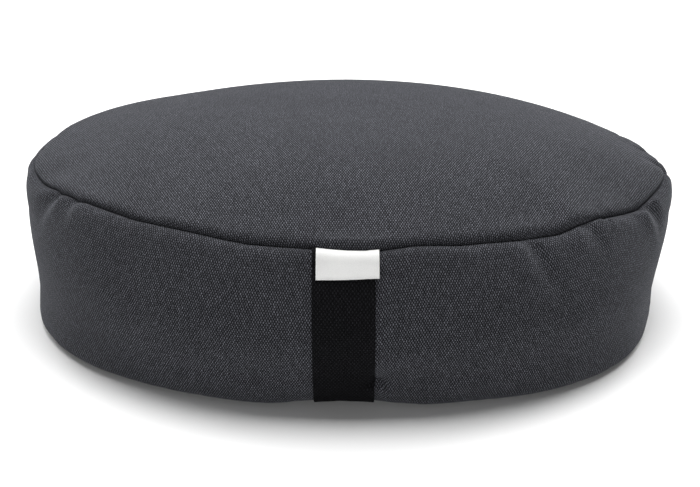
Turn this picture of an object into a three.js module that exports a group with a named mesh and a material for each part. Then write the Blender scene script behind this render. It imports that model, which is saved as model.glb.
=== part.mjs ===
import * as THREE from 'three';

// Oval zafu: a meditation cushion of dark canvas, tightly filled with loose hulls. Two oval panels and a
// tall side band are sewn with plain seams, one round the top and one tucked under the foot. A webbing
// carry strap lies flat on the front of the band, and a plain folded label hangs over it from the top seam.
// Millimetres, +Z up, the front faces -Y. The angle called turn is zero at the front, growing rightwards.

const seamHalfWidth = 226;
const seamHalfDepth = 149;
const diagonalTrim = 0.0125;
const seamHeight = 107;
const crownRise = 33;
const crownPower = 2.8;
const topShift = 3.4;

const bandLength = 122;
const diagonalFullness = 15.5;
const footHeight = 2.4;
const restingShare = 0.93;

const seamDepth = 2.2;
const seamWidth = 3.2;
const seamLip = 0.9;
const seamLipWidth = 9;
const seamWaveFade = 6;
const foldFadeIn = 7;

const strapWidth = 38.1;
const strapCentre = -2.6;
const strapThickness = 1.4;
const labelWidth = 38.2;
const labelCentre = -0.4;
const labelDrop = 19;
const labelThickness = 1;
const labelFlare = 0.8;
const pieceGap = 0.3;
const strapBedDepth = 1.5;
const strapFootDepth = 4;
const strapBedHalfWidth = 34;
const strapBedReach = 30;

const turnsAround = 132;
const degree = Math.PI / 180;

// The band's section from the top seam down to the seam under the foot. Out is how far it stands outside
// the top seam at the front and at the two ends, and height is a share of the top seam's height there.
const bandProfile = [
  { along: 0, frontOut: 0, endOut: 0, height: 1 },
  { along: 12, frontOut: 7.3, endOut: 4.6, height: 0.912 },
  { along: 24, frontOut: 14.3, endOut: 5.9, height: 0.823 },
  { along: 41, frontOut: 22.1, endOut: 4.9, height: 0.672 },
  { along: 58, frontOut: 25, endOut: 2.6, height: 0.52 },
  { along: 76, frontOut: 23.8, endOut: 0.4, height: 0.354 },
  { along: 94, frontOut: 20.6, endOut: 0.2, height: 0.192 },
  { along: 105, frontOut: 17.6, endOut: 0.6, height: 0.094 },
  { along: 111, frontOut: 15, endOut: 0.2, height: 0.044 },
  { along: 115, frontOut: 12.2, endOut: -1.6, height: footHeight / seamHeight },
  { along: bandLength, frontOut: 6, endOut: -6.4, height: footHeight / seamHeight },
];

// The top seam's course round the cushion. Rise is above or below its usual height, inset is how far the
// filling lets it fall inside the cut oval, and spread is how far the foot of the band is pushed out there.
const seamCourse = [
  { turn: -180, rise: 0, inset: 0, spread: 0 },
  { turn: -150, rise: 2, inset: 0, spread: 0 },
  { turn: -120, rise: 4, inset: 2, spread: 0 },
  { turn: -98, rise: 4.5, inset: 4, spread: 0 },
  { turn: -84, rise: 4.2, inset: 3, spread: 0 },
  { turn: -76, rise: 3.4, inset: 1, spread: 0.5 },
  { turn: -68, rise: 1.5, inset: 0, spread: 1 },
  { turn: -60, rise: 4, inset: 0, spread: 0 },
  { turn: -44, rise: 6, inset: 0, spread: -3 },
  { turn: -36, rise: 4, inset: 0, spread: -4 },
  { turn: -29, rise: 4.4, inset: 0, spread: -3 },
  { turn: -21, rise: 2, inset: 0, spread: -1 },
  { turn: -11, rise: 0.4, inset: 0, spread: 2 },
  { turn: 0, rise: -0.6, inset: 0, spread: 1 },
  { turn: 5, rise: -1.4, inset: 0, spread: 1.5 },
  { turn: 11, rise: -0.4, inset: 0, spread: 3 },
  { turn: 20, rise: -1.2, inset: 0, spread: 2 },
  { turn: 30, rise: -3, inset: 0, spread: 4 },
  { turn: 36, rise: -4.5, inset: 0, spread: 4 },
  { turn: 41, rise: -1.5, inset: 0, spread: 4 },
  { turn: 46, rise: -1.8, inset: 0, spread: 4 },
  { turn: 58, rise: -6.4, inset: 0, spread: 1 },
  { turn: 67, rise: -3.2, inset: 0, spread: -2.5 },
  { turn: 75, rise: -1, inset: 0, spread: -2 },
  { turn: 88, rise: -2.4, inset: 6, spread: 0 },
  { turn: 104, rise: -3, inset: 10, spread: 0 },
  { turn: 130, rise: -3, inset: 6, spread: 0 },
  { turn: 155, rise: -2, inset: 2, spread: 0 },
  { turn: 180, rise: 0, inset: 0, spread: 0 },
];

// Folds that the tight seam draws into the band. Each starts at its turn and distance below the seam, swings
// by drift degrees over its reach, and is a trough of about that depth, or a ridge where depth is negative.
const bandFolds = [
  { turn: -59, start: 0, drift: -6, reach: 42, width: 6, depth: 3.6 },
  { turn: -56.5, start: 0, drift: -6, reach: 34, width: 5, depth: -1.2 },
  { turn: -53.5, start: 0, drift: 0, reach: 24, width: 5, depth: 2.2 },
  { turn: -50.5, start: 0, drift: 0, reach: 24, width: 5, depth: -1 },
  { turn: -87, start: 20, drift: 6, reach: 80, width: 7, depth: 1.8 },
  { turn: -32.5, start: 0, drift: -2, reach: 24, width: 9, depth: 0.9 },
  { turn: 26.5, start: 0, drift: 4, reach: 46, width: 6, depth: -1.4 },
  { turn: 30, start: 0, drift: 4, reach: 44, width: 6, depth: 2.4 },
  { turn: 42, start: 0, drift: 3, reach: 36, width: 7, depth: 2.2 },
  { turn: 57.5, start: 0, drift: 7, reach: 50, width: 6, depth: -2 },
  { turn: 61, start: 0, drift: 6, reach: 42, width: 6, depth: 3.6 },
  { turn: 81, start: 0, drift: 2, reach: 36, width: 6, depth: 3 },
  { turn: 91.5, start: 0, drift: 2, reach: 40, width: 6, depth: 4.2 },
  { turn: 105.5, start: 0, drift: 2, reach: 38, width: 6, depth: 4.2 },
  { turn: 117.5, start: 0, drift: 1, reach: 36, width: 7, depth: 3 },
  { turn: 136.5, start: 0, drift: 1, reach: 30, width: 9, depth: 1.6 },
  { turn: -79.5, start: 0, drift: 1, reach: 34, width: 7, depth: 2.2 },
  { turn: -103.5, start: 0, drift: -2, reach: 38, width: 7, depth: 3 },
  { turn: -125.5, start: 0, drift: -2, reach: 30, width: 9, depth: 1.8 },
  { turn: 7, start: 72, drift: 0, reach: 44, width: 7, depth: 1.8 },
];

function column(rows, key, names) {
  const places = rows.map((row) => row[key]);
  const values = rows.flatMap((row) => names.map((name) => row[name]));
  return new THREE.CubicInterpolant(places, values, names.length);
}

const bandCurve = column(bandProfile, 'along', ['frontOut', 'endOut', 'height']);
const seamCurve = column(seamCourse, 'turn', ['rise', 'inset', 'spread']);

// A point of the top seam, with its outward direction and how far the foot below it is pushed out.
function seamRing(turn) {
  const [rise, inset, spread] = seamCurve.evaluate(turn / degree);
  const trim = 1 - diagonalTrim * Math.sin(2 * turn) ** 2;
  const outward = new THREE.Vector2(seamHalfDepth * Math.sin(turn), -seamHalfWidth * Math.cos(turn));
  outward.normalize();
  const x = seamHalfWidth * Math.sin(turn) * trim - inset * outward.x;
  const y = -seamHalfDepth * Math.cos(turn) * trim - inset * outward.y;
  return { x, y, z: seamHeight + rise, outward, inset, spread };
}

function foldDepth(turn, along) {
  let depth = 0;
  for (const fold of bandFolds) {
    const down = (along - fold.start) / fold.reach;
    if (down < 0 || down > 1) continue;
    const middle = (fold.turn + fold.drift * down) * degree;
    const spread = fold.width * (1 + down);
    const perTurn = Math.hypot(seamHalfWidth * Math.cos(middle), seamHalfDepth * Math.sin(middle));
    const across = (turn - middle) * perTurn;
    const fadeIn = Math.min(1, (along - fold.start) / foldFadeIn);
    depth += fold.depth * fadeIn * (1 - down) ** 2 * Math.exp(-((across / spread) ** 2));
  }
  return depth;
}

// How far the cloth is drawn in at a distance from a seam, less the soft lip that swells beside it.
function seamPull(distance) {
  const groove = seamDepth * Math.exp(-((distance / seamWidth) ** 2));
  const lip = seamLip * Math.exp(-(((Math.abs(distance) - seamLipWidth) / seamLipWidth) ** 2));
  return groove - lip;
}

// The tight strap draws the front of the band in beneath it, most of all at the foot.
function strapBed(x, y, along) {
  if (y > 0) return 0;
  const across = Math.exp(-(((x - strapCentre) / strapBedHalfWidth) ** 4));
  const bed = strapBedDepth * THREE.MathUtils.smoothstep(along, 0, strapBedReach);
  const foot = strapFootDepth * THREE.MathUtils.smoothstep(along, bandLength / 2, bandLength);
  return across * (bed + foot);
}

function bandPoint(turn, along) {
  const ring = seamRing(turn);
  const [frontOut, endOut, height] = bandCurve.evaluate(along);
  const endShare = Math.sin(turn) ** 2;
  const drop = along / bandLength;
  const pull = seamPull(along) * Math.SQRT1_2;
  const underPull = seamPull(bandLength - along) - seamPull(bandLength) * drop;
  const fullness = drop * (diagonalFullness * Math.sin(2 * turn) ** 2 + ring.spread + ring.inset);
  const drawnIn = foldDepth(turn, along) + strapBed(ring.x, ring.y, along);
  const out = frontOut * (1 - endShare) + endOut * endShare + fullness - pull - drawnIn;
  const x = ring.x + ring.outward.x * out + topShift * (0.5 - drop);
  const y = ring.y + ring.outward.y * out;
  return new THREE.Vector3(x, y, ring.z * height - pull + Math.max(underPull, 0));
}

function topPoint(turn, share) {
  const ring = seamRing(turn);
  const distance = (1 - share) * Math.hypot(ring.x, ring.y);
  const pull = seamPull(distance) * Math.SQRT1_2;
  const scale = share - pull / Math.hypot(ring.x, ring.y);
  const crown = crownRise * (1 - share ** crownPower);
  const level = seamHeight + (ring.z - seamHeight) * share ** seamWaveFade;
  const height = level + crown - pull * share;
  return new THREE.Vector3(ring.x * scale + topShift * 0.5 * share, ring.y * scale, height);
}

function basePoint(turn, share) {
  const edge = bandPoint(turn, bandLength);
  const distance = (1 - share) * Math.hypot(edge.x, edge.y);
  const lift = footHeight * THREE.MathUtils.smoothstep(share, restingShare, 1);
  const pull = share > restingShare ? Math.max(seamPull(distance), 0) : 0;
  return new THREE.Vector3(edge.x * share, edge.y * share, lift + pull);
}

// A lathe gives the closed net of rings, whose height counts the stations: the top panel from 0 to 1, the
// band from 1 to 2 and the base from 2 to 3. Each corner is then moved to its place on the cushion.
function cushionGeometry() {
  const seamClose = [9, 5, 2.5];
  const topShares = [0, 0.2, 0.38, 0.54, 0.68, 0.79, 0.87];
  const topStations = [...topShares, ...seamClose.map((distance) => 1 - distance / seamHalfDepth)];
  const upperStops = [0, 2.5, 5, 9, 15, 22, 30, 39, 49, 59, 69];
  const lowerStops = [79, 88, 96, 103, 109, 113, 117, 119.5, bandLength];
  const bandStops = [...upperStops, ...lowerStops];
  const bandStations = bandStops.map((along) => 1 + along / bandLength);
  const baseStations = [0.985, 0.96, restingShare, 0.5, 0].map((share) => 3 - share);
  const stations = [...topStations, ...bandStations, ...baseStations].reverse();
  const radius = (station) => (station === 0 || station === 3 ? 0 : 1);
  const profile = stations.map((station) => new THREE.Vector2(radius(station), station));
  const geometry = new THREE.LatheGeometry(profile, turnsAround);
  const corners = geometry.attributes.position;
  for (let i = 0; i < corners.count; i += 1) {
    const turn = Math.atan2(corners.getX(i), corners.getZ(i));
    const station = corners.getY(i);
    let place;
    if (station < 1) place = topPoint(turn, station);
    else if (station <= 2) place = bandPoint(turn, (station - 1) * bandLength);
    else place = basePoint(turn, 3 - station);
    corners.setXYZ(i, place.x, place.y, place.z);
  }
  geometry.computeVertexNormals();
  return geometry;
}

function turnAtX(x, along) {
  let low = -0.5;
  let high = 0.5;
  for (let i = 0; i < 30; i += 1) {
    const middle = (low + high) / 2;
    if (bandPoint(middle, along).x < x) low = middle;
    else high = middle;
  }
  return (low + high) / 2;
}

// The outward direction of the front of the band, taken over a few millimetres so that it runs smoothly
// past the seam.
function bandNormal(turn, along) {
  const reach = 6;
  const upper = bandPoint(turn, Math.max(along - reach, 0));
  const lower = bandPoint(turn, Math.min(along + reach, bandLength));
  const left = bandPoint(turn - reach / seamHalfWidth, along);
  const right = bandPoint(turn + reach / seamHalfWidth, along);
  return right.sub(left).cross(upper.sub(lower)).normalize();
}

// A flat strip laid on the front of the band. Its box starts with across, along and depth as x, y and z.
function stripOnBand({ width, centre, start, end, thickness, steps, standOff }) {
  const geometry = new THREE.BoxGeometry(width, end - start, thickness, 6, steps, 1);
  const corners = geometry.attributes.position;
  for (let i = 0; i < corners.count; i += 1) {
    const across = centre + corners.getX(i);
    const along = (start + end) / 2 - corners.getY(i);
    const turn = turnAtX(across, along);
    const depth = corners.getZ(i) + thickness / 2 + standOff(along);
    const place = bandPoint(turn, along).addScaledVector(bandNormal(turn, along), depth);
    corners.setXYZ(i, place.x, place.y, place.z);
  }
  geometry.computeVertexNormals();
  return geometry;
}

function named(name, geometry, color, roughness) {
  const material = new THREE.MeshStandardMaterial({ color, roughness, metalness: 0 });
  const mesh = new THREE.Mesh(geometry, material);
  mesh.name = name;
  return mesh;
}

const strap = {
  width: strapWidth,
  centre: strapCentre,
  start: 2,
  end: bandLength - 3,
  thickness: strapThickness,
  steps: 34,
  standOff: () => pieceGap,
};
const labelStart = 2.8;
const label = {
  width: labelWidth,
  centre: labelCentre,
  start: labelStart,
  end: labelStart + labelDrop,
  thickness: labelThickness,
  steps: 8,
  standOff: (along) => {
    const flare = labelFlare * ((along - labelStart) / labelDrop) ** 2;
    return 2 * pieceGap + strapThickness + flare;
  },
};

const cushion = new THREE.Group();
cushion.name = 'zafu';
cushion.add(named('cushion_body', cushionGeometry(), 0x3a3c42, 0.92));
cushion.add(named('carry_strap', stripOnBand(strap), 0x0e0e10, 0.8));
cushion.add(named('label_tab', stripOnBand(label), 0xe9e9e6, 0.6));

export default cushion;
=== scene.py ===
import math

import bpy
import numpy as np
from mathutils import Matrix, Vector


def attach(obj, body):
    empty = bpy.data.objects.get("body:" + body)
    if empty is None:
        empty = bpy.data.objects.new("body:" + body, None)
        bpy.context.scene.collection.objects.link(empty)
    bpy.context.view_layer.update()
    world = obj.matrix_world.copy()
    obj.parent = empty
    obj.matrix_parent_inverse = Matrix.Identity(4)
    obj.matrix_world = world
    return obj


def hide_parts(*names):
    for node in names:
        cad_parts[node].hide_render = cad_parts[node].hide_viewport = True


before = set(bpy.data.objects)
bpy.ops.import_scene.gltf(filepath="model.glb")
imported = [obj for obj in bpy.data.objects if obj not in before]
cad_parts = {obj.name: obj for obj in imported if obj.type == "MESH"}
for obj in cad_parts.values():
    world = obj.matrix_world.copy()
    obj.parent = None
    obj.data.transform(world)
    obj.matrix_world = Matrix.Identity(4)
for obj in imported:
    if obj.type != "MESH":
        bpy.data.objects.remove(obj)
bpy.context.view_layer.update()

# The cushion: two ovals of charcoal canvas and a tall band, sewn with plain seams and packed tight
# with loose hulls. Its cloth is read ring by ring from the solid, let slack, filled again under
# pressure, and then drawn in at its seams, gathers and puckers. It rests flat on its base panel.
weld_distance = 0.00001
top_seam_ring = 9
foot_seam_ring = 28

cushion = bpy.data.objects.new("zafu_cushion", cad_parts["cushion_body"].data.copy())
bpy.context.collection.objects.link(cushion)
bpy.ops.object.select_all(action="DESELECT")
cushion.select_set(True)
bpy.context.view_layer.objects.active = cushion
bpy.ops.object.mode_set(mode="EDIT")
bpy.ops.mesh.select_all(action="SELECT")
bpy.ops.mesh.remove_doubles(threshold=weld_distance)
bpy.ops.object.mode_set(mode="OBJECT")


def rings_from_crown(mesh):
    """The corners as rings, each in turn order from the back, and the two middles they close on."""
    places = np.array([corner.co for corner in mesh.vertices])
    linked = [[] for _ in mesh.vertices]
    for edge in mesh.edges:
        first, second = edge.vertices
        linked[first].append(second)
        linked[second].append(first)
    crown = int(places[:, 2].argmax())
    steps = {crown: 0}
    reached = [crown]
    for corner in reached:
        for other in linked[corner]:
            if other not in steps:
                steps[other] = steps[corner] + 1
                reached.append(other)
    spread = places.max(0) - places.min(0)
    rings = []
    for step in range(1, steps[reached[-1]]):
        ring = places[[corner for corner in reached if steps[corner] == step]]
        turn = np.arctan2(ring[:, 0] / spread[0], -ring[:, 1] / spread[1])
        ring = ring[turn.argsort()]
        if rings:
            shifts = (-1, 0, 1)
            apart = [((np.roll(ring, shift, 0) - rings[-1]) ** 2).sum() for shift in shifts]
            ring = np.roll(ring, shifts[int(np.argmin(apart))], 0)
        rings.append(ring)
    return np.array(rings), places[crown], places[reached[-1]]


def with_neighbours(values, axis):
    """Each value evened with the ones before and after it, round the cushion."""
    return (np.roll(values, 1, axis) + 2 * values + np.roll(values, -1, axis)) / 4


def with_rows_beside(rows):
    """Each inner row of a panel evened with the rows above and below it."""
    return (rows[:-2] + 2 * rows[1:-1] + rows[2:]) / 4


rings, crown, underside = rings_from_crown(cushion.data)
around = rings.shape[1]
top_rings = np.concatenate([np.broadcast_to(crown, (1, around, 3)), rings[: top_seam_ring + 1]])
band_rings = rings[top_seam_ring : foot_seam_ring + 1]
base_rings = np.concatenate([rings[foot_seam_ring:], np.broadcast_to(underside, (1, around, 3))])

# The solid's coarse folds are taken out of the band, except close to its seams. Finer ones are
# drawn in later.
coarse_fold_passes = 3
seam_margin = 0.012
band_depths = np.linalg.norm(np.diff(band_rings, axis=0), axis=2).mean(1).cumsum()
from_seams = np.minimum(band_depths, band_depths[-1] - band_depths)[:-1]
inside = np.clip(from_seams / seam_margin, 0, 1)[:, None, None]
for _ in range(coarse_fold_passes):
    inner = band_rings[1:-1]
    inner = inner + (with_neighbours(inner, 1) - inner) * inside
    band_rings = np.concatenate([band_rings[:1], inner, band_rings[-1:]])


def distance_along(rows):
    """The mean distance over the cloth from the first row to each."""
    gaps = np.linalg.norm(np.diff(rows, axis=0), axis=2).mean(1)
    return np.concatenate([[0], gaps.cumsum()])


def curve_through(rows, at, wanted):
    """Smooth curves through the rows, which lie at the given distances, read at the wanted ones."""
    slopes = np.gradient(rows, at, axis=0)
    span = np.clip(np.searchsorted(at, wanted, side="right") - 1, 0, len(at) - 2)
    length = at[span + 1] - at[span]
    shape = (-1,) + (1,) * (rows.ndim - 1)
    t = ((wanted - at[span]) / length).reshape(shape)
    length = length.reshape(shape)
    start = (1 + 2 * t) * (1 - t) ** 2 * rows[span] + t * (1 - t) ** 2 * length * slopes[span]
    end = t**2 * (3 - 2 * t) * rows[span + 1] - t**2 * (1 - t) * length * slopes[span + 1]
    return start + end


def more_columns(rows, split):
    """The same rings with each gap between columns split evenly."""
    columns_round = rows.shape[1]
    overlap = 4
    padded = np.concatenate([rows[:, -overlap:], rows, rows[:, :overlap]], 1).swapaxes(0, 1)
    at = np.arange(-overlap, columns_round + overlap, dtype=float)
    return curve_through(padded, at, np.arange(columns_round * split) / split).swapaxes(0, 1)


def row_places(length, step, near, far):
    """Distances of the rows over a panel: even steps, with closer ones beside its two seams."""
    start = near[-1] if near else 0
    stop = length - (far[-1] if far else 0)
    middle = np.linspace(start, stop, max(2, round((stop - start) / step)))
    return np.concatenate([near[:-1], middle, [length - place for place in reversed(far[:-1])]])


def finer(panel, step, near, far, split):
    """A panel's rings read at closer rows and columns."""
    at = distance_along(panel)
    wanted = row_places(at[-1], step, near, far)
    return more_columns(curve_through(panel, at, wanted), split)


def closed_mesh(top, band, base, name):
    """One closed mesh of the three panels, which share the rows along their seams."""
    rows = np.concatenate([top[1:], band[1:], base[1:-1]])
    count, columns = rows.shape[:2]
    corners = np.concatenate([rows.reshape(-1, 3), top[:1, 0], base[-1:, 0]])
    here = np.arange(columns)
    beside = np.roll(here, -1)
    faces = [(len(corners) - 2, i, j) for i, j in zip(here, beside)]
    for row in range(count - 1):
        upper, lower = row * columns, (row + 1) * columns
        faces += [(upper + i, lower + i, lower + j, upper + j) for i, j in zip(here, beside)]
    last = (count - 1) * columns
    faces += [(len(corners) - 1, last + j, last + i) for i, j in zip(here, beside)]
    mesh = bpy.data.meshes.new(name)
    mesh.from_pydata(corners.tolist(), [], faces)
    mesh.update()
    return mesh


def outward_of(rows):
    """The outward direction at each corner of a panel."""
    down = np.gradient(rows, axis=0)
    padded = np.concatenate([rows[:, -1:], rows, rows[:, :1]], 1)
    across = (padded[:, 2:] - padded[:, :-2]) / 2
    direction = np.cross(down, across)
    return direction / np.maximum(np.linalg.norm(direction, axis=2, keepdims=True), 1e-12)


# Filling: the cloth starts a little slack and swells under pressure, held at its seams and base.
# Its change of shape on the whole is then taken back, and only its finer unevenness is kept.
slack = 0.004
slack_margin = 0.03
furthest_swell = 0.009
filling_pressure = 4
filling_frames = 20
cloth_stiffness = 2
broad_evening = 16
top_evening = 6
fill_step = 0.0045
base_step = 0.012
fill_rows = [0, 0.003, 0.0065]
fill_split = 2


def let_slack(rows):
    """A panel moved inwards, except close to its seams."""
    at = distance_along(rows)
    share = np.clip(np.minimum(at, at[-1] - at) / slack_margin, 0, 1)[:, None, None]
    return rows - outward_of(rows) * slack * share


def evened(shifts, passes):
    """How far a filled panel stands from its cut, with its finer unevenness left out."""
    for _ in range(passes):
        shifts = with_neighbours(shifts, 1)
        shifts = np.concatenate([shifts[:1], with_rows_beside(shifts), shifts[-1:]])
    return shifts


top = finer(top_rings, fill_step, [], fill_rows, fill_split)
band = finer(band_rings, fill_step, fill_rows, fill_rows, fill_split)
slack_top, slack_band = let_slack(top), let_slack(band)
slack_top[0] = slack_top[0].mean(0)
slack_base = finer(base_rings, base_step, fill_rows, [], fill_split)
slack_shell = closed_mesh(slack_top, slack_band, slack_base, "slack_shell")
solid_copy = cushion.data
cushion.data = slack_shell
bpy.data.meshes.remove(solid_copy)
columns = top.shape[1]
seam_row = len(top) - 2
foot_row = seam_row + len(band) - 1
seam_corners = range(seam_row * columns, (seam_row + 1) * columns)
base_corners = range(foot_row * columns, len(slack_shell.vertices) - 2)
base_middle = len(slack_shell.vertices) - 1
held = cushion.vertex_groups.new(name="held")
held.add([*seam_corners, *base_corners, base_middle], 1, "REPLACE")
filling = cushion.modifiers.new("filling", "CLOTH")
filling.settings.use_pressure = True
filling.settings.uniform_pressure_force = filling_pressure
filling.settings.effector_weights.gravity = 0
filling.settings.vertex_group_mass = held.name
filling.settings.bending_stiffness = cloth_stiffness
filling.point_cache.frame_start = 1
filling.point_cache.frame_end = filling_frames
for step in range(1, filling_frames + 1):
    bpy.context.scene.frame_set(step)
before = np.array([corner.co for corner in slack_shell.vertices])
bpy.ops.object.modifier_apply(modifier=filling.name)
after = np.array([corner.co for corner in cushion.data.vertices])
swell = after - before
size = np.linalg.norm(swell, axis=1, keepdims=True)
after = before + swell * np.minimum(1, furthest_swell / np.maximum(size, 1e-9))
rows = after[:-2].reshape(-1, columns, 3)
middle_row = np.broadcast_to(after[-2], (1, columns, 3))
filled_top = np.concatenate([middle_row, rows[: seam_row + 1]])
filled_band = rows[seam_row : foot_row + 1]
top_shift, band_shift = filled_top - top, filled_band - band
top += evened(top_shift, top_evening) - evened(top_shift, broad_evening)
band = filled_band - evened(band_shift, broad_evening)
bpy.context.scene.frame_set(1)

# The finished cloth has finer rows and columns, closest together beside the seams. Places round
# the cushion are turns in degrees, zero at the front and growing rightwards. The other heads of
# the tables are in millimetres, unless their comment says otherwise.
column_split = 6
top_step = 0.0048
band_step = 0.003
seam_rows = [0, 0.0004, 0.0009, 0.0016, 0.0026, 0.004, 0.006, 0.0085, 0.0115, 0.015]
top = finer(top, top_step, [], seam_rows, column_split // fill_split)
band = finer(band, band_step, seam_rows, seam_rows, column_split // fill_split)
base = finer(base_rings, base_step, seam_rows, [], column_split)
base[:, :, 2] = np.maximum(base[:, :, 2], 0)
band[-1] = base[0]
band[0] = top[-1]
columns = top.shape[1]
turns = (np.arange(columns) + column_split) * (2 * math.pi / columns) - math.pi
seam_half_width = 0.226
seam_half_depth = 0.149


def table(heads, *rows):
    """Rows of measured values under named heads."""
    return [dict(zip(heads.split(), row)) for row in rows]


def round_the_seam(rows, head):
    """One head of a table, read at every column of the cloth, in metres."""
    values = [row[head] / 1000 for row in rows]
    return np.interp(np.degrees(turns), [row["turn"] for row in rows], values)


# The top seam's rise over its cut course, and how far it is pushed out at the left end.
seam_lift = table(
    "turn rise",
    (-180, 0.2), (-147, 0.3), (-137, 0.9), (-128, 1.4), (-117, 1.6), (-105, 2.0), (-93, 0.8),
    (-83, 0), (-69, 0.6), (-64, 1.2), (-60.3, 1.3), (-58.8, 0), (-57, 0.8), (-54, 0.6),
    (-52.4, -0.5), (-50, 0.4), (-43, 0), (-37, 0.4), (-33.7, 0.9), (-30, 0), (-23, 0.4),
    (-15.5, -0.5), (-9, 0.2), (-6.5, 0.1), (-3, -1.0), (-0.5, -1.5), (2.5, -0.8), (5.5, 0.9),
    (9, 1.9), (13, 1.2), (17, 0), (21, 0.3), (28, -0.4), (33, 0.3), (43.5, 0.4), (45.7, 1.1),
    (46.8, -0.4), (50, 0), (55.5, 0), (58.5, -1.0), (60.5, 0.3), (64, -0.3), (71, -0.8),
    (75, 0.1), (79, -0.4), (81, -2.4), (82.8, 0), (86, 1.1), (89.4, 0), (91.4, -2.8),
    (93.4, -0.3), (98, 0.9), (103, 0), (105.4, -2.0), (107.6, -0.4), (116, -1.5), (122, 0),
    (127, -1.3), (134, -1.2), (141, 0), (180, 0.2),
)
seam_spread = table(
    "turn out",
    (-180, 0), (-125, 0), (-108, -1.4), (-96, -1.6), (-88, -0.4), (-82, 2.0), (-76, 2.2),
    (-69, 0.8), (-62, 0), (180, 0),
)
spread_reach = 0.022
lift_reach = 0.03
kink_reach = 0.0045
broad_passes = 160

# Puckers that the tight seam draws into the cloth: troughs, or ridges where the depth is negative.
# Start and reach run down from the seam, drift is in degrees, and left and right are the widths of
# the two sides.
pucker_heads = "turn start drift reach left right depth"
band_puckers = table(
    pucker_heads,
    (-58.2, 0, -8, 40, 7.0, 4.0, 4.4),
    (-56.2, 0, -8, 36, 3.0, 5.0, -1.1),
    (-53.2, 0, -0.5, 22, 5.0, 3.4, 3.0),
    (-51.0, 0, -0.5, 24, 2.6, 7.0, -1.2),
    (-32.3, 0, -2, 24, 6.0, 6.0, 0.8),
    (26.6, 0, 4, 46, 7.0, 3.6, -1.6),
    (29.7, 1, 4, 46, 5.6, 3.4, 4.4),
    (41.8, 0, 3, 34, 5.5, 3.4, 3.2),
    (38.6, 0, 3, 28, 5.0, 3.6, -1.2),
    (47.3, 0, 2, 16, 1.8, 5.0, -1.2),
    (57.4, 0, 7, 48, 5.0, 2.2, -2.2),
    (60.4, 0, 6.5, 44, 3.6, 3.6, 3.4),
    (64.1, 0, 2.5, 30, 2.0, 4.0, -1.3),
    (81.0, -2, 2, 36, 3.6, 2.6, 4.6),
    (91.4, -2, 2, 38, 3.6, 2.6, 5.2),
    (105.4, -2, 2, 36, 3.6, 3.0, 4.4),
    (117.7, 0, 1, 34, 5.0, 4.0, 3.0),
    (136.7, 0, 1, 28, 6.0, 6.0, 1.6),
    (-79.3, 0, 1, 30, 5.0, 5.0, 1.8),
    (-103.3, 0, -2, 34, 4.0, 5.0, 2.8),
    (-125.3, 0, -2, 28, 6.0, 7.0, 1.8),
)
top_puckers = table(
    pucker_heads,
    (81.0, -2, 0, 22, 3.0, 2.4, 3.8),
    (91.4, -2, 0, 24, 3.0, 2.4, 4.4),
    (105.4, -2, 0, 22, 3.0, 2.6, 3.4),
)
foot_puckers = table(
    pucker_heads,
    (4.6, 22, 0, 20, 6.0, 4.5, 8.5),
    (6.5, 36, 0, 16, 8.0, 7.0, -0.8),
)
gather_count = 64
gather_seed = 11
top_gather = 0.2
band_gather = 0.45
foot_gather = 0.4
base_gather = 0.2
gather_shift = 0.45
gather_drift = 2
gather_reach = (8, 26)
gather_width = (1.6, 5)
gather_share = (-0.6, 1.6)
pucker_fade_in = 8
pucker_fade_out = 1.5


def pucker_depth(at, folds):
    """How far folds draw the cloth in, for rows at a distance from the seam and every column."""
    depth = np.zeros((len(at), columns))
    down = at[:, None] * 1000
    for fold in folds:
        share = (down - fold["start"]) / fold["reach"]
        middle = np.radians(fold["turn"] + fold["drift"] * share)
        across_turn = seam_half_width * np.cos(middle)
        along_turn = seam_half_depth * np.sin(middle)
        per_turn = np.hypot(across_turn, along_turn) * 1000
        apart = (turns[None, :] - middle + math.pi) % (2 * math.pi) - math.pi
        width = np.where(apart < 0, fold["left"], fold["right"]) * (1 + share)
        across = apart * per_turn / width
        fade = np.clip(share * pucker_fade_in, 0, 1)
        fade = fade * np.clip(1 - share, 0, 1) ** pucker_fade_out
        depth += fold["depth"] / 1000 * fade * np.exp(-(across**2)) * (share > 0) * (share < 1)
    return depth


def gathers(seed, mean_depth):
    """Small uneven gathers that the sewing thread draws all the way along a seam."""
    draw = np.random.default_rng(seed)
    return [
        {
            "turn": -180 + 360 * (i + draw.uniform(-gather_shift, gather_shift)) / gather_count,
            "start": 0,
            "drift": draw.uniform(-gather_drift, gather_drift),
            "reach": draw.uniform(*gather_reach),
            "left": draw.uniform(*gather_width),
            "right": draw.uniform(*gather_width),
            "depth": mean_depth * draw.uniform(*gather_share),
        }
        for i in range(gather_count)
    ]


# Beside a seam the cloth rounds down into the stitching, and the full top panel hangs a little
# over it.
seam_pull = 0.0036
lip_reach = 0.0034
overhang_middle = 0.0045
overhang_width = 0.0055
top_overhang = table(
    "turn height",
    (-180, 0.3), (-72, 0.4), (-56, 0.9), (-38, 0.6), (-24, 1.0), (-12, 0.7), (-6.8, 0.8),
    (-4.4, 2.4), (0, 3.0), (4.2, 2.4), (6.6, 0.8), (14, 0.6), (25, 1.0), (35, 1.7), (43, 1.5),
    (47, 0.2), (58, 0.8), (78, 0.4), (180, 0.3),
)
even_overhang = table("turn height", (-180, 0.3), (180, 0.3))


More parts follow.
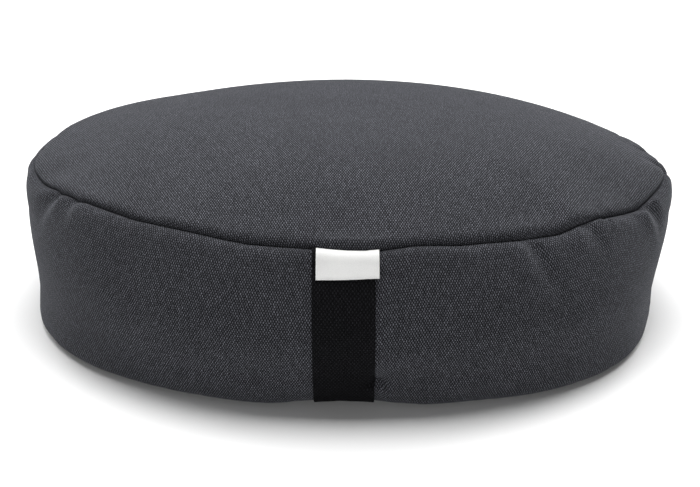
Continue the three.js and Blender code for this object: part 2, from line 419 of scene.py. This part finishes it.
def drawn_in(rows, from_seam, folds, toward, overhang):
    """A panel rounded into a seam, hung over it and drawn in by its folds."""
    out = outward_of(rows)
    open_share = np.clip(1 - from_seam / lip_reach, 0, 1)
    seam = -toward * (seam_pull * (1 - np.sqrt(1 - open_share**2)))[:, None, None]
    heights = round_the_seam(overhang, "height")
    swell = np.exp(-(((from_seam - overhang_middle) / overhang_width) ** 2))
    swell *= np.clip(from_seam / overhang_middle, 0, 1) ** 0.5
    over = toward * (swell[:, None] * heights[None, :])[:, :, None]
    return rows + seam + over - out * pucker_depth(from_seam, folds)[:, :, None]


def unit(directions):
    """Directions at length one."""
    return directions / np.linalg.norm(directions, axis=-1, keepdims=True)


top_at, band_at, base_at = distance_along(top), distance_along(band), distance_along(base)
rises = round_the_seam(seam_lift, "rise")
broad = rises
for _ in range(broad_passes):
    broad = with_neighbours(broad, 0)
spreads = round_the_seam(seam_spread, "out")
sideways = unit(top[-1] * np.array([1, 1, 0])) * spreads[:, None]
for panel, from_seam in ((top, top_at[-1] - top_at), (band, band_at)):
    panel += sideways * np.exp(-((from_seam / spread_reach) ** 2))[:, None, None]
    panel[:, :, 2] += broad * np.exp(-((from_seam / lift_reach) ** 2))[:, None]
    panel[:, :, 2] += (rises - broad) * np.exp(-((from_seam / kink_reach) ** 2))[:, None]

# The front of the band lies a little deeper where the tight strap passes over it.
strap_middle = -0.0028
bed_half_width = 0.021
bed_shoulder = 0.008
bed_profile = table(
    "down depth", (0, 0), (4, 1.3), (12, 1.6), (30, 0.9), (60, 0.5), (122, 0.5)
)
past_strap = (np.abs(band[:, :, 0] - strap_middle) - bed_half_width) / bed_shoulder
under_strap = (1 - np.sin(np.clip(past_strap, -1, 1) * math.pi / 2)) / 2
under_strap = np.where(band[:, :, 1] < 0, under_strap, 0)
bed_downs = [row["down"] / 1000 for row in bed_profile]
bed_depths = [row["depth"] / 1000 for row in bed_profile]
band[:, :, 1] += under_strap * np.interp(band_at, bed_downs, bed_depths)[:, None]

lip_row = len(seam_rows) - 2
foot_out_rise = 0.2
seam_out = unit(outward_of(top)[-1 - lip_row] + outward_of(band)[lip_row])[None]
foot_out = unit(outward_of(band)[-1 - lip_row] + outward_of(base)[lip_row])[None]
foot_out[..., 2] *= foot_out_rise
top_folds = top_puckers + gathers(gather_seed, top_gather)
band_folds = band_puckers + gathers(gather_seed + 1, band_gather)
foot_folds = foot_puckers + gathers(gather_seed + 2, foot_gather)
base_folds = gathers(gather_seed + 3, base_gather)
top = drawn_in(top, top_at[-1] - top_at, top_folds, seam_out, top_overhang)
band = drawn_in(band, band_at, band_folds, seam_out, even_overhang)
band = drawn_in(band, band_at[-1] - band_at, foot_folds, foot_out, even_overhang)
base = drawn_in(base, base_at, base_folds, foot_out, even_overhang)
top[0] = top[0].mean(0)
band[0] = top[-1]
base[0] = band[-1]
base[-1] = base[-1].mean(0)
for panel in (top, band, base):
    panel[:, :, 2] = np.maximum(panel[:, :, 2], 0)
cushion.data = closed_mesh(top, band, base, "zafu_cushion")
cushion.vertex_groups.clear()


# Thread coordinates, in metres, run over each panel as it was cut flat, with the warp along the
# second.
def oval_threads(rows):
    """An oval panel's cloth laid out flat from its middle, its first column again at the end."""
    out = np.linalg.norm(np.diff(rows, axis=0), axis=2).cumsum(0)
    out = np.concatenate([np.zeros((1, columns)), out])
    plan = rows[:, :, :2] - rows[:1, :1, :2]
    plan[0] = plan[1]
    flat = unit(plan) * out[:, :, None]
    return np.concatenate([flat, flat[:, :1]], 1)


def band_threads(rows):
    """The band's cloth: the distance round the cushion and the distance down from the seam."""
    closed = np.concatenate([rows, rows[:, :1]], 1)
    wide = np.linalg.norm(np.diff(closed, axis=1), axis=2)
    across = np.concatenate([[0], wide.mean(0).cumsum()])
    down = np.linalg.norm(np.diff(closed, axis=0), axis=2).cumsum(0)
    down = np.concatenate([np.zeros((1, columns + 1)), down])
    return np.stack([np.broadcast_to(across, down.shape), -down], 2)


def four_corners(flat):
    """The thread coordinates of the faces between each row and the next, corner by corner."""
    upper, lower = flat[:-1], flat[1:]
    corners = np.stack([upper[:, :-1], lower[:, :-1], lower[:, 1:], upper[:, 1:]], 2)
    return corners.reshape(-1, 2)


top_flat = oval_threads(top)
base_flat = oval_threads(base[::-1])[::-1]
crown_faces = np.stack([top_flat[0, :-1], top_flat[1, :-1], top_flat[1, 1:]], 1)
under_faces = np.stack([base_flat[-1, :-1], base_flat[-2, 1:], base_flat[-2, :-1]], 1)
flat = np.concatenate([
    crown_faces.reshape(-1, 2),
    four_corners(top_flat[1:]),
    four_corners(band_threads(band)),
    four_corners(base_flat[:-1]),
    under_faces.reshape(-1, 2),
])
threads = cushion.data.uv_layers.new(name="threads")
threads.data.foreach_set("uv", flat.astype(np.float32).ravel())
for face in cushion.data.polygons:
    face.use_smooth = True

# Plain weave, as all three cloths have it. Ends run along the second thread coordinate and picks
# along the first. The threads wander a little and are dyed unevenly, one by one and in soft clouds.
sway_scale, sway_detail = 45, 1.5
shake_scale, shake_detail = 420, 2
shake_reach = 0.0011
end_shows_from, end_shows_to = 0.0, 0.6
yarn_roundness = 0.6
yarn_height, end_height = 0.55, 0.45
slub_across, slub_along, slub_detail = 0.9, 0.12, 2
slub_strength = 1.2
cloud_scale, cloud_detail, cloud_strength = 26, 4, 0.3


def woven_group():
    """The node group: the cloth's colour and the height of its threads."""
    group = bpy.data.node_groups.new("plain_weave", "ShaderNodeTree")
    for name, kind in (
        ("Threads", "Vector"), ("Place", "Vector"), ("Dark", "Color"), ("Light", "Color"),
        ("End Pitch", "Float"), ("Pick Pitch", "Float"), ("Wander", "Float"), ("Contrast", "Float"),
    ):
        group.interface.new_socket(name, in_out="INPUT", socket_type="NodeSocket" + kind)
    for name, kind in (("Color", "Color"), ("Height", "Float")):
        group.interface.new_socket(name, in_out="OUTPUT", socket_type="NodeSocket" + kind)
    nodes, links = group.nodes, group.links
    given, result = nodes.new("NodeGroupInput").outputs, nodes.new("NodeGroupOutput").inputs

    def set_or_link(socket, value):
        if isinstance(value, (int, float, tuple)):
            socket.default_value = value
        else:
            links.new(value, socket)

    def maths(operation, *values):
        node = nodes.new("ShaderNodeMath")
        node.operation = operation
        for socket, value in zip(node.inputs, values):
            set_or_link(socket, value)
        return node.outputs[0]

    def vectors(operation, *values, scale=None):
        node = nodes.new("ShaderNodeVectorMath")
        node.operation = operation
        for socket, value in zip(node.inputs, values):
            set_or_link(socket, value)
        if scale is not None:
            set_or_link(node.inputs["Scale"], scale)
        return node.outputs[0]

    def noise(place, scale, detail, dimensions="3D"):
        node = nodes.new("ShaderNodeTexNoise")
        node.noise_dimensions = dimensions
        node.inputs["Scale"].default_value = scale
        node.inputs["Detail"].default_value = detail
        links.new(place, node.inputs["Vector"])
        return node.outputs

    def combined(x, y):
        node = nodes.new("ShaderNodeCombineXYZ")
        links.new(x, node.inputs["X"])
        links.new(y, node.inputs["Y"])
        return node.outputs[0]

    def about_one(value, strength):
        return maths("MULTIPLY_ADD", maths("SUBTRACT", value, 0.5), strength, 1)

    middle = (0.5, 0.5, 0.5)
    sway = vectors("SUBTRACT", noise(given["Threads"], sway_scale, sway_detail)["Color"], middle)
    moved = vectors("ADD", given["Threads"], vectors("SCALE", sway, scale=given["Wander"]))
    shake = vectors("SUBTRACT", noise(given["Threads"], shake_scale, shake_detail)["Color"], middle)
    moved = vectors("ADD", moved, vectors("MULTIPLY", shake, (shake_reach, shake_reach, 0.0)))
    split = nodes.new("ShaderNodeSeparateXYZ")
    links.new(moved, split.inputs[0])
    ends = maths("DIVIDE", split.outputs["X"], given["End Pitch"])
    picks = maths("DIVIDE", split.outputs["Y"], given["Pick Pitch"])
    end_wave = maths("COSINE", maths("MULTIPLY", ends, math.pi))
    pick_wave = maths("COSINE", maths("MULTIPLY", picks, math.pi))
    crossing = maths("MULTIPLY", end_wave, pick_wave)
    shows = nodes.new("ShaderNodeMapRange")
    shows.interpolation_type = "SMOOTHSTEP"
    shows.inputs["From Min"].default_value = end_shows_from
    shows.inputs["From Max"].default_value = end_shows_to
    links.new(crossing, shows.inputs["Value"])
    round_yarn = maths("POWER", maths("ABSOLUTE", crossing), yarn_roundness)
    lift = maths("MULTIPLY", shows.outputs[0], end_height)
    links.new(maths("MULTIPLY_ADD", round_yarn, yarn_height, lift), result["Height"])

    fleck = nodes.new("ShaderNodeTexWhiteNoise")
    fleck.noise_dimensions = "2D"
    links.new(combined(maths("ROUND", ends), maths("ROUND", picks)), fleck.inputs["Vector"])
    drawn = combined(maths("MULTIPLY", ends, slub_across), maths("MULTIPLY", picks, slub_along))
    slub = noise(drawn, 1, slub_detail, "2D")["Fac"]
    cloud = noise(given["Place"], cloud_scale, cloud_detail)["Fac"]
    fleck_tone = about_one(fleck.outputs["Value"], given["Contrast"])
    slub_tone = about_one(slub, maths("MULTIPLY", given["Contrast"], slub_strength))
    tone = maths("MULTIPLY", maths("MULTIPLY", fleck_tone, slub_tone),
                 about_one(cloud, cloud_strength))
    yarns = nodes.new("ShaderNodeMix")
    yarns.data_type = "RGBA"
    links.new(shows.outputs[0], yarns.inputs["Factor"])
    links.new(given["Dark"], yarns.inputs["A"])
    links.new(given["Light"], yarns.inputs["B"])
    links.new(vectors("SCALE", yarns.outputs["Result"], scale=tone), result["Color"])
    return group


weave = woven_group()
thread_wander = 0.0012
pit_roughness = 0.05
crest_polish = 0.08
sheen_roughness = 0.5


def woven_finish(name, dark, light, end_pitch, pick_pitch, contrast, relief, roughness, gloss,
                 sheen, sheen_tint):
    """A woven cloth's finish: its thread colours and spacing in metres, its bump and its shine."""
    material = bpy.data.materials.new(name)
    material.use_nodes = True
    nodes, links = material.node_tree.nodes, material.node_tree.links
    shader = nodes["Principled BSDF"]
    uv = nodes.new("ShaderNodeUVMap")
    uv.uv_map = "threads"
    coords = nodes.new("ShaderNodeTexCoord")
    woven = nodes.new("ShaderNodeGroup")
    woven.node_tree = weave
    for socket, value in (
        ("Dark", (*dark, 1)), ("Light", (*light, 1)), ("End Pitch", end_pitch),
        ("Pick Pitch", pick_pitch), ("Wander", thread_wander), ("Contrast", contrast),
    ):
        woven.inputs[socket].default_value = value
    links.new(uv.outputs["UV"], woven.inputs["Threads"])
    links.new(coords.outputs["Object"], woven.inputs["Place"])
    links.new(woven.outputs["Color"], shader.inputs["Base Color"])
    rough = nodes.new("ShaderNodeMapRange")
    rough.inputs["To Min"].default_value = min(1, roughness + pit_roughness)
    rough.inputs["To Max"].default_value = roughness - crest_polish
    links.new(woven.outputs["Height"], rough.inputs["Value"])
    links.new(rough.outputs[0], shader.inputs["Roughness"])
    bump = nodes.new("ShaderNodeBump")
    bump.inputs["Strength"].default_value = 1
    bump.inputs["Distance"].default_value = relief
    links.new(woven.outputs["Height"], bump.inputs["Height"])
    links.new(bump.outputs["Normal"], shader.inputs["Normal"])
    shader.inputs["Specular IOR Level"].default_value = gloss
    shader.inputs["Sheen Weight"].default_value = sheen
    shader.inputs["Sheen Roughness"].default_value = sheen_roughness
    shader.inputs["Sheen Tint"].default_value = (*sheen_tint, 1)
    return material


canvas = woven_finish(
    "charcoal_canvas",
    dark=(0.0115, 0.0115, 0.0135), light=(0.098, 0.1005, 0.115),
    end_pitch=0.00082, pick_pitch=0.00146, contrast=0.6, relief=0.00018,
    roughness=0.92, gloss=0.08, sheen=0.12, sheen_tint=(0.75, 0.78, 0.85),
)
cushion.data.materials.append(canvas)
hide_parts("cushion_body")
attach(cushion, "root")

# The carry strap: one length of flat black webbing, 38 mm wide, with rounded woven edges. It is
# sewn into the top seam at the front, lies tight on the band, and is tucked under the foot.
strap_width = 0.0381
strap_thickness = 0.0014
strap_start = 0.0004
strap_end = 0.119
strap_edge = 0.0005
strap_stand = 0.0002
smooth_below = 50
ripple_height = 0.0002
ripple_pitch = 90
front_half = 60
direction_passes = 12

first_column = columns // 2 - front_half
front = slice(first_column, first_column + 2 * front_half)
front_rows = band[:, front]
front_out = outward_of(band)
for _ in range(direction_passes):
    front_out[1:-1] = with_rows_beside(front_out)
    front_out[0], front_out[-1] = front_out[1], front_out[-2]
front_out = unit(front_out)[:, front]
front_at = distance_along(band)


def laid_on_band(across, along, depth):
    """The place at a distance across and down the front of the band, and proud of it."""
    row = np.interp(along, front_at, np.arange(len(front_at)))
    low = min(int(row), len(front_at) - 2)
    share = row - low
    line = front_rows[low] * (1 - share) + front_rows[low + 1] * share
    out = front_out[low] * (1 - share) + front_out[low + 1] * share
    spot = np.interp(across, line[:, 0], np.arange(len(line)))
    here = min(int(spot), len(line) - 2)
    part = spot - here
    place = line[here] * (1 - part) + line[here + 1] * part
    normal = out[here] * (1 - part) + out[here + 1] * part
    return place + normal / np.linalg.norm(normal) * depth


def flat_strip(name, width, length, across_steps, length_steps):
    """A flat strip with its width and length as x and y, and the same as thread coordinates."""
    bpy.ops.object.select_all(action="DESELECT")
    bpy.ops.mesh.primitive_grid_add(
        x_subdivisions=across_steps, y_subdivisions=length_steps, size=1)
    strip = bpy.context.object
    strip.name = name
    strip.scale = (width, length, 1)
    bpy.ops.object.transform_apply(location=False, rotation=False, scale=True)
    strip.data.uv_layers[0].name = "threads"
    for loop, uv in zip(strip.data.loops, strip.data.uv_layers[0].data):
        uv.uv = strip.data.vertices[loop.vertex_index].co.xy
    return strip


strap = flat_strip("carry_strap_webbing", strap_width, strap_end - strap_start,
                   across_steps=20, length_steps=90)
for corner in strap.data.vertices:
    across, along = corner.co.x, (strap_start + strap_end) / 2 - corner.co.y
    edge = abs(across) / (strap_width / 2)
    stand = strap_stand + ripple_height * math.sin(along * ripple_pitch) * edge**2
    corner.co = laid_on_band(strap_middle + across, along, stand)
thick = strap.modifiers.new("thickness", "SOLIDIFY")
thick.thickness = strap_thickness
thick.offset = 1
rounded = strap.modifiers.new("woven_edge", "BEVEL")
rounded.width = strap_edge
rounded.segments = 2
rounded.limit_method = "ANGLE"
for modifier in (thick, rounded):
    bpy.ops.object.modifier_apply(modifier=modifier.name)
bpy.ops.object.shade_smooth_by_angle(angle=math.radians(smooth_below))
webbing = woven_finish(
    "black_webbing",
    dark=(0.0035, 0.0035, 0.004), light=(0.011, 0.011, 0.0125),
    end_pitch=0.0011, pick_pitch=0.0015, contrast=0.4, relief=0.0003,
    roughness=0.62, gloss=0.03, sheen=0.01, sheen_tint=(0.6, 0.6, 0.65),
)
strap.data.materials.append(webbing)
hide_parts("carry_strap")
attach(strap, "root")

# The label: a length of white satin ribbon, folded once on itself. Both its ends are caught in the
# top seam, and it hangs over the strap, hardly held off it, with its fold at the bottom and one
# side lower.
label_width = 0.0383
label_middle = -0.0004
label_start = 0.0008
label_drop = 0.0211
label_tilt = 0.0014
ribbon_thickness = 0.00035
layer_gap = 0.0003
fold_radius = 0.0006
tuck_reach = 0.006
over_strap = 0.0017
droop_end = 0.0006

label = flat_strip("folded_label", label_width, 2 * label_drop,
                   across_steps=16, length_steps=40)
for corner in label.data.vertices:
    across, run = corner.co.x, corner.co.y
    along = label_start + label_drop - abs(run)
    fold = min(1, abs(run) / fold_radius)
    droop = droop_end * ((along - label_start) / label_drop) ** 2
    tucked = min(1, along / tuck_reach)
    layer = math.copysign(layer_gap, -run) * math.sqrt(1 - (1 - fold) ** 2)
    stand = over_strap * tucked + droop + layer_gap + layer
    tilt = label_tilt * across / label_width
    corner.co = laid_on_band(label_middle + across, along - tilt * (along / label_drop), stand)
thin = label.modifiers.new("thickness", "SOLIDIFY")
thin.thickness = ribbon_thickness
thin.offset = 0
bpy.ops.object.modifier_apply(modifier=thin.name)
bpy.ops.object.shade_smooth_by_angle(angle=math.radians(smooth_below))
satin = woven_finish(
    "white_satin",
    dark=(0.72, 0.72, 0.71), light=(0.86, 0.86, 0.85),
    end_pitch=0.0003, pick_pitch=0.0003, contrast=0.04, relief=0.00003,
    roughness=0.45, gloss=0.3, sheen=0.1, sheen_tint=(1, 1, 1),
)
label.data.materials.append(satin)
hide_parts("label_tab")
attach(label, "root")

# The studio: a pale matt floor, soft light from above, behind, the left and the front, a white
# surround, and the camera at the photograph's angle.
floor_size = 14
floor_tone = 0.9
floor_roughness = 0.8
surround_light = 0.1
camera_place = (0.0010, -0.7344, 0.4059)
camera_pitch = 63.17
camera_lens = 56.57
camera_sensor = 36
lamp_aim = Vector((0, 0, 0.06))
lamps = [
    {"name": "overhead", "place": (0.0, 0.2, 1.5), "size": (1.0, 0.8), "watts": 27.1},
    {"name": "left_back", "place": (-1.1, 1.0, 1.1), "size": (0.9, 0.9), "watts": 15.8},
    {"name": "right_back", "place": (1.1, 1.0, 1.1), "size": (0.9, 0.9), "watts": 18.6},
    {"name": "front_fill", "place": (0.0, -2.0, 0.5), "size": (1.8, 0.8), "watts": 12.1},
    {"name": "left_side", "place": (-1.6, 0.2, 0.9), "size": (1.0, 1.2), "watts": 2.2},
]

bpy.ops.object.select_all(action="DESELECT")
bpy.ops.mesh.primitive_plane_add(size=floor_size, location=(0, 0, 0))
floor = bpy.context.object
floor.name = "studio_floor"
floor_paint = bpy.data.materials.new("pale_floor")
floor_paint.use_nodes = True
floor_shader = floor_paint.node_tree.nodes["Principled BSDF"]
floor_shader.inputs["Base Color"].default_value = (floor_tone, floor_tone, floor_tone, 1)
floor_shader.inputs["Roughness"].default_value = floor_roughness
floor.data.materials.append(floor_paint)

for lamp in lamps:
    bpy.ops.object.light_add(type="AREA", location=lamp["place"])
    light = bpy.context.object
    light.name = lamp["name"]
    light.data.shape = "RECTANGLE"
    light.data.size, light.data.size_y = lamp["size"]
    light.data.energy = lamp["watts"]
    light.rotation_euler = (lamp_aim - light.location).to_track_quat("-Z", "Y").to_euler()

world = bpy.data.worlds.new("white_studio")
bpy.context.scene.world = world
world.use_nodes = True
world.node_tree.nodes["Background"].inputs["Color"].default_value = (1, 1, 1, 1)
world.node_tree.nodes["Background"].inputs["Strength"].default_value = surround_light
bpy.context.scene.view_settings.view_transform = "Standard"

bpy.ops.object.camera_add(location=camera_place, rotation=(math.radians(camera_pitch), 0, 0))
camera = bpy.context.object
camera.data.lens = camera_lens
camera.data.sensor_width = camera_sensor
bpy.context.scene.camera = camera
